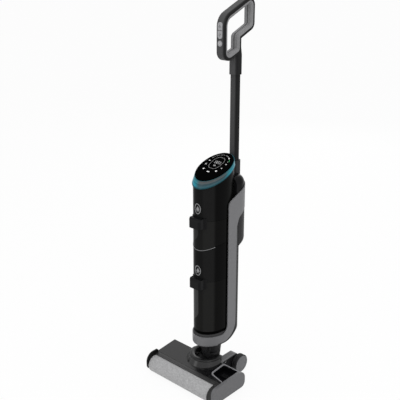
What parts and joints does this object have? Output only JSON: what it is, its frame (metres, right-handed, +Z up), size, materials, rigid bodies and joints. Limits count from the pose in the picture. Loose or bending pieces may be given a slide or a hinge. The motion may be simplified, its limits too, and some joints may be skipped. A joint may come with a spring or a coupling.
{
  "type": "wet dry floor scrubber",
  "caption": "Upright cordless wet and dry floor washer with a microfibre roller, clean and dirty water tanks in an oval column, and a loop handle.",
  "frame": {"origin": "On the floor, under the middle of the oval tank column, at the bottom centre of the bounding box.", "axes": "+Z up. -Y is the front, where the roller is. +Y is towards the user. +X is the end with the roller's removable cap."},
  "size_m": [0.272, 0.303, 1.1031],
  "materials": {
    "frame_grey": "satin moulded plastic",
    "light_grey": "satin moulded plastic",
    "side_grey": "satin moulded plastic",
    "ring_grey": "satin moulded plastic",
    "pocket_black": "fine matte moulded plastic",
    "head_dark": "fine matte moulded plastic",
    "cover_dark": "matte moulded plastic",
    "gloss_black": "polished moulded plastic",
    "smoked_tank": "polished smoke-tinted plastic",
    "inner_plastic": "plain moulded plastic",
    "display_glass": "black cover glass",
    "ring_teal": "translucent light guide",
    "board_green": "circuit board with solder mask",
    "steel": "turned steel",
    "motor_metal": "plated motor can",
    "microfibre": "dense microfibre pile",
    "black_rubber": "soft wiping rubber",
    "tyre_black": "ribbed soft rubber",
    "tube_black": "satin black lacquer on aluminium",
    "handle_black": "satin moulded plastic",
    "grip_grey": "soft grip rubber",
    "key_grey": "soft-touch keys"
  },
  "bodies": {
    "head": {"head_chassis": "head_dark", "arm_caps": "light_grey", "top_shell": "head_dark", "turret_ring": "ring_grey", "turret_dish": "head_dark", "left_cheek": "head_dark", "right_side_plate": "side_grey", "roller_end_cap": "gloss_black", "scraper_bar": "inner_plastic", "rear_squeegee": "black_rubber", "water_spray_bar": "inner_plastic", "pocket_rim": "light_grey", "pocket_liner": "pocket_black", "roller_motor": "motor_metal", "tilt_pin": "steel", "wheel_axles": "steel"},
    "roller": {"roller_core": "inner_plastic", "roller_sleeve": "microfibre"},
    "left_wheel": {"left_tyre": "tyre_black", "left_hub": "light_grey"},
    "right_wheel": {"right_tyre": "tyre_black", "right_hub": "light_grey"},
    "cover": {"roller_cover": "head_dark"},
    "release_key": {"cover_release_key": "pocket_black"},
    "yoke": {"neck_yoke": "cover_dark"},
    "column": {"neck_stub": "cover_dark", "swing_pin": "cover_dark", "carry_frame": "frame_grey", "rear_cover": "cover_dark", "battery_cover": "cover_dark", "battery_cells": "steel", "rear_dome": "gloss_black", "tube_socket": "cover_dark", "base_seat": "cover_dark", "spine": "inner_plastic", "suction_pipe": "inner_plastic", "control_board": "board_green", "middle_housing": "gloss_black", "water_pump": "motor_metal", "seam_trim": "light_grey", "motor_housing": "gloss_black", "suction_motor": "motor_metal", "light_ring": "ring_teal", "display_glass": "display_glass", "display_board": "board_green"},
    "clean_tank_unit": {"clean_tank": "smoked_tank", "clean_tank_lid": "inner_plastic", "clean_latch_plate": "gloss_black"},
    "clean_latch": {"clean_latch_key": "gloss_black"},
    "dirty_tank_unit": {"dirty_tank": "smoked_tank", "dirty_tank_lid": "inner_plastic", "dirty_latch_plate": "gloss_black"},
    "dirty_latch": {"dirty_latch_key": "gloss_black"},
    "tube_key": {"tube_release_key": "key_grey"},
    "grip": {"handle_tube": "tube_black", "handle_shell": "handle_black", "grip_liner": "grip_grey"},
    "upper_key": {"upper_mode_key": "key_grey"},
    "lower_key": {"lower_mode_key": "key_grey"},
    "power": {"power_key": "key_grey"}
  },
  "joints": [
    {"name": "roller_spin", "type": "hinge", "parent": "head", "child": "roller", "pos_m": [0, -0.1225, 0.0265], "axis": [1, 0, 0], "continuous": true},
    {"name": "left_wheel_spin", "type": "hinge", "parent": "head", "child": "left_wheel", "pos_m": [-0.065, 0.0495, 0.0284], "axis": [1, 0, 0], "continuous": true},
    {"name": "right_wheel_spin", "type": "hinge", "parent": "head", "child": "right_wheel", "pos_m": [0.065, 0.0495, 0.0284], "axis": [1, 0, 0], "continuous": true},
    {"name": "roller_cover_lift", "type": "slide", "parent": "head", "child": "cover", "axis": [0, 0, 1], "range_m": [0, 0.03]},
    {"name": "cover_release_press", "type": "slide", "parent": "head", "child": "release_key", "axis": [0, 0, -1], "range_m": [0, 0.003], "stiffness_N_per_m": 400, "springref_m": -0.001},
    {"name": "neck_tilt", "type": "hinge", "parent": "head", "child": "yoke", "pos_m": [0, 0, 0.05], "axis": [-1, 0, 0], "range_deg": [0, 60]},
    {"name": "neck_swing", "type": "hinge", "parent": "yoke", "child": "column", "pos_m": [0, 0, 0.094], "axis": [0, 1, 0], "range_deg": [-15, 15]},
    {"name": "clean_tank_pull", "type": "slide", "parent": "column", "child": "clean_tank_unit", "axis": [0, -1, 0], "range_m": [0, 0.1]},
    {"name": "clean_latch_slide", "type": "slide", "parent": "clean_tank_unit", "child": "clean_latch", "axis": [0, 0, -1], "range_m": [0, 0.004], "stiffness_N_per_m": 500, "springref_m": -0.001},
    {"name": "dirty_tank_pull", "type": "slide", "parent": "column", "child": "dirty_tank_unit", "axis": [0, -1, 0], "range_m": [0, 0.1]},
    {"name": "dirty_latch_slide", "type": "slide", "parent": "dirty_tank_unit", "child": "dirty_latch", "axis": [0, 0, -1], "range_m": [0, 0.004], "stiffness_N_per_m": 500, "springref_m": -0.001},
    {"name": "tube_lift", "type": "slide", "parent": "column", "child": "grip", "axis": [0, 0, 1], "range_m": [0, 0.06]},
    {"name": "tube_release_press", "type": "slide", "parent": "column", "child": "tube_key", "axis": [0, -1, 0], "range_m": [0, 0.0012], "stiffness_N_per_m": 600, "springref_m": -0.001},
    {"name": "upper_key_press", "type": "slide", "parent": "grip", "child": "upper_key", "axis": [0, 1, 0], "range_m": [0, 0.001], "stiffness_N_per_m": 600, "springref_m": -0.001},
    {"name": "lower_key_press", "type": "slide", "parent": "grip", "child": "lower_key", "axis": [0, 1, 0], "range_m": [0, 0.001], "stiffness_N_per_m": 600, "springref_m": -0.001},
    {"name": "power_key_press", "type": "slide", "parent": "grip", "child": "power", "axis": [0, 1, 0], "range_m": [0, 0.001], "stiffness_N_per_m": 600, "springref_m": -0.001}
  ]
}
